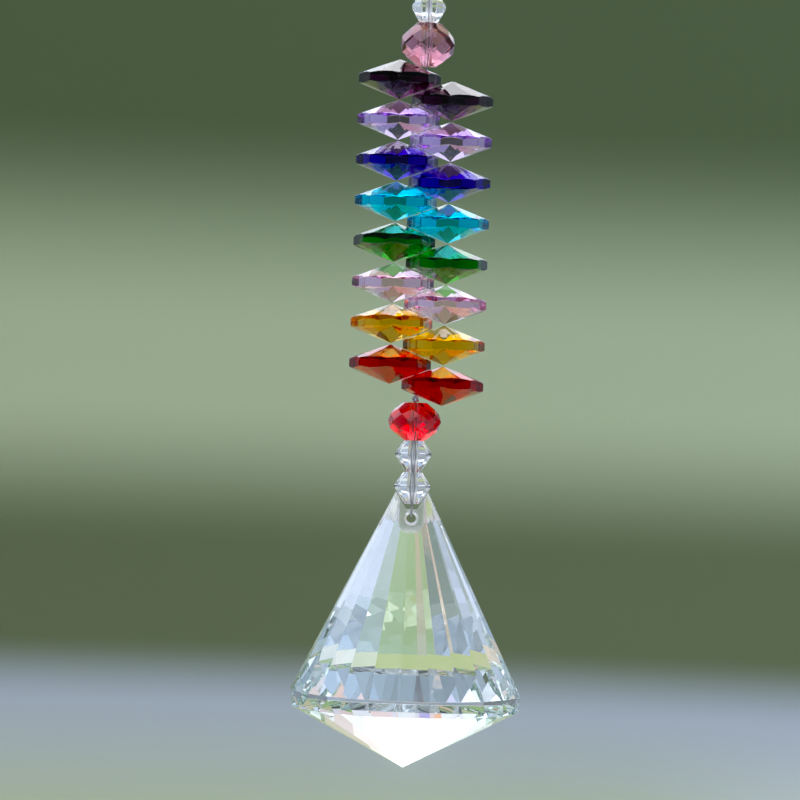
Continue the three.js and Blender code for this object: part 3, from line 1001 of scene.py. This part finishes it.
def metal(name, dark, light, grain_scale, roughness):
    """Bare metal whose colour and gloss wander from place to place."""
    finish = bpy.data.materials.new(name)
    finish.use_nodes = True
    tree = finish.node_tree
    shader = tree.nodes["Principled BSDF"]
    shader.inputs["Metallic"].default_value = 1.0
    place = tree.nodes.new("ShaderNodeTexCoord").outputs["Object"]
    grain = tree.nodes.new("ShaderNodeTexNoise")
    grain.inputs["Scale"].default_value = grain_scale
    grain.inputs["Detail"].default_value = GRAIN_DETAIL
    gloss = tree.nodes.new("ShaderNodeMapRange")
    gloss.inputs["To Min"].default_value = (1 - GLOSS_SPREAD) * roughness
    gloss.inputs["To Max"].default_value = (1 + GLOSS_SPREAD) * roughness
    colour = mix_colours(tree, grain.outputs["Fac"], dark, light)
    tree.links.new(place, grain.inputs["Vector"])
    tree.links.new(grain.outputs["Fac"], gloss.inputs["Value"])
    tree.links.new(colour, shader.inputs["Base Color"])
    tree.links.new(gloss.outputs["Result"], shader.inputs["Roughness"])
    return finish


steel = metal("drawn steel", STEEL_DARK, STEEL_LIGHT, grain_scale=1500, roughness=0.28)
plate = metal("bright plate", PLATE_DARK, PLATE_LIGHT, grain_scale=2200, roughness=0.22)
print("metals:", steel.name, "and", plate.name)

# %% [markdown]
# ## Twisted cable
# Beading wire is seven fine wires twisted together. They could be seven tubes wound round each other,
# but at this thickness only the ridges show. So the route's curve is given a bevel profile with six
# lobes, one for each outer wire, and a tilt that grows along the route turns the profile, which is
# what lays the wires round each other.

# %% Twisted cable
WIRE_LAY = 2.4
LOBES = 6
LOBE_DEPTH = 0.14
PROFILE_POINTS = 36


def poly_curve(name, points, closed):
    """A curve of straight steps through these points."""
    curve = bpy.data.curves.new(name, "CURVE")
    curve.dimensions = "3D"
    spline = curve.splines.new("POLY")
    spline.points.add(len(points) - 1)
    spline.use_cyclic_u = closed
    for corner, point in zip(spline.points, points):
        corner.co = (*point, 1)
    return curve


def cable_profile():
    """The cable's six-lobed outline."""
    outline = []
    for index in range(PROFILE_POINTS):
        angle = 2 * math.pi * index / PROFILE_POINTS
        lobe = abs(math.cos(LOBES / 2 * angle))
        radius = WIRE_RADIUS * MM * (1 - LOBE_DEPTH + LOBE_DEPTH * lobe)
        outline.append((radius * math.cos(angle), radius * math.sin(angle), 0))
    return poly_curve("cable outline", outline, True)


def cable_along(run):
    """The twisted cable's mesh along a run of points."""
    profile = new_object("cable outline", cable_profile())
    curve = poly_curve("cable", [point * MM for point in run], False)
    curve.bevel_mode = "OBJECT"
    curve.bevel_object = profile
    curve.use_fill_caps = True
    travelled = 0
    for index, corner in enumerate(curve.splines[0].points):
        travelled += (run[index] - run[max(index - 1, 0)]).length
        corner.tilt = 2 * math.pi * travelled / WIRE_LAY
    cable = new_object("cable", curve)
    seen = cable.evaluated_get(bpy.context.evaluated_depsgraph_get())
    mesh = bpy.data.meshes.new_from_object(seen)
    for used in (cable, profile):
        bpy.data.objects.remove(used)
    print("wire:", round(travelled), "mm long")
    return mesh


hang("beading_wire", cable_along(wire_run), steel)

# %% [markdown]
# ## Crimps
# A crimp is a short soft tube, pinched flat round two runs of the wire to lock them. A cylinder has no
# wall and no pinch, so a profile is spun about the wire to give the tube, a bevel rolls its rims, and
# the pinch draws its waist in.

# %% Crimps
CRIMP_BORE = 0.6
CRIMP_STEPS = 48
CRIMP_EDGE = 0.15
EDGE_STEPS = 4
OUTER_SHARE = 0.9
UPRIGHT_SHARE = 0.3
WAIST_CUTS = 7
PINCH = 0.22


def crimp_tube(radius, height, pinch):
    """A tube about its own middle, drawn in at its waist by a share of its width along X and Y."""
    top = height / 2
    tube = bmesh.new()
    profile = [(CRIMP_BORE, -top), (radius, -top), (radius, top), (CRIMP_BORE, top)]
    corners = [tube.verts.new((out, 0, up)) for out, up in profile]
    edges = [tube.edges.new(pair) for pair in zip(corners, corners[1:] + corners[:1])]
    bmesh.ops.spin(
        tube,
        geom=corners + edges,
        cent=(0, 0, 0),
        axis=UP,
        angle=2 * math.pi,
        steps=CRIMP_STEPS,
        use_merge=True,
    )
    bmesh.ops.remove_doubles(tube, verts=tube.verts, dist=SNAP)
    level = [e for e in tube.edges if e.verts[0].co.z == e.verts[1].co.z]
    rims = [e for e in level if min(v.co.xy.length for v in e.verts) > OUTER_SHARE * radius]
    bmesh.ops.bevel(
        tube, geom=rims, offset=CRIMP_EDGE, affect="EDGES", segments=EDGE_STEPS, profile=0.5, material=-1
    )
    tall = UPRIGHT_SHARE * height
    upright = [e for e in tube.edges if abs(e.verts[0].co.z - e.verts[1].co.z) > tall]
    bmesh.ops.subdivide_edges(tube, edges=upright, cuts=WAIST_CUTS, use_grid_fill=True)
    for corner in tube.verts:
        waist = 1 - (corner.co.z / top) ** 2
        corner.co.x *= 1 - pinch[0] * waist
        corner.co.y *= 1 - pinch[1] * waist
    bmesh.ops.recalc_face_normals(tube, faces=tube.faces)
    mesh = bpy.data.meshes.new("crimp")
    tube.to_mesh(mesh)
    tube.free()
    for face in mesh.polygons:
        face.use_smooth = True
    return mesh


CRIMPS = {
    "top_crimp": crimp_tube(radius=1.0, height=2.0, pinch=(0, PINCH)),
    "lower_crimp": crimp_tube(radius=0.8, height=0.92, pinch=(PINCH, 0)),
}
for node, tube in CRIMPS.items():
    hang(node, on_strand(tube, middle(node)), plate)
print("crimps:", [len(tube.polygons) for tube in CRIMPS.values()], "faces")

# %% [markdown]
# ## Picture
# A camera's own picture is more vivid than the plain light it takes in, and its lens spreads a faint
# glow round whatever is very bright. The materials could be painted brighter, but they would then be
# wrong in any other light. The compositor does both to the finished render, and leaves the materials as
# they are.

# %% Picture
VIVID = 1.08
GLOW = {"Threshold": 0.8, "Strength": 0.15, "Size": 0.45}


def camera_picture():
    """Pass the render through a glow and a little more colour on its way out."""
    scene.use_nodes = True
    tree = scene.node_tree
    tree.nodes.clear()
    taken = tree.nodes.new("CompositorNodeRLayers")
    glow = tree.nodes.new("CompositorNodeGlare")
    glow.glare_type = "BLOOM"
    for name, value in GLOW.items():
        glow.inputs[name].default_value = value
    vivid = tree.nodes.new("CompositorNodeHueSat")
    vivid.inputs["Saturation"].default_value = VIVID
    shown = tree.nodes.new("CompositorNodeComposite")
    tree.links.new(taken.outputs["Image"], glow.inputs["Image"])
    tree.links.new(glow.outputs["Image"], vivid.inputs["Image"])
    tree.links.new(vivid.outputs["Image"], shown.inputs["Image"])


camera_picture()
print("picture: colour x", VIVID, "and a glow of", GLOW["Strength"])
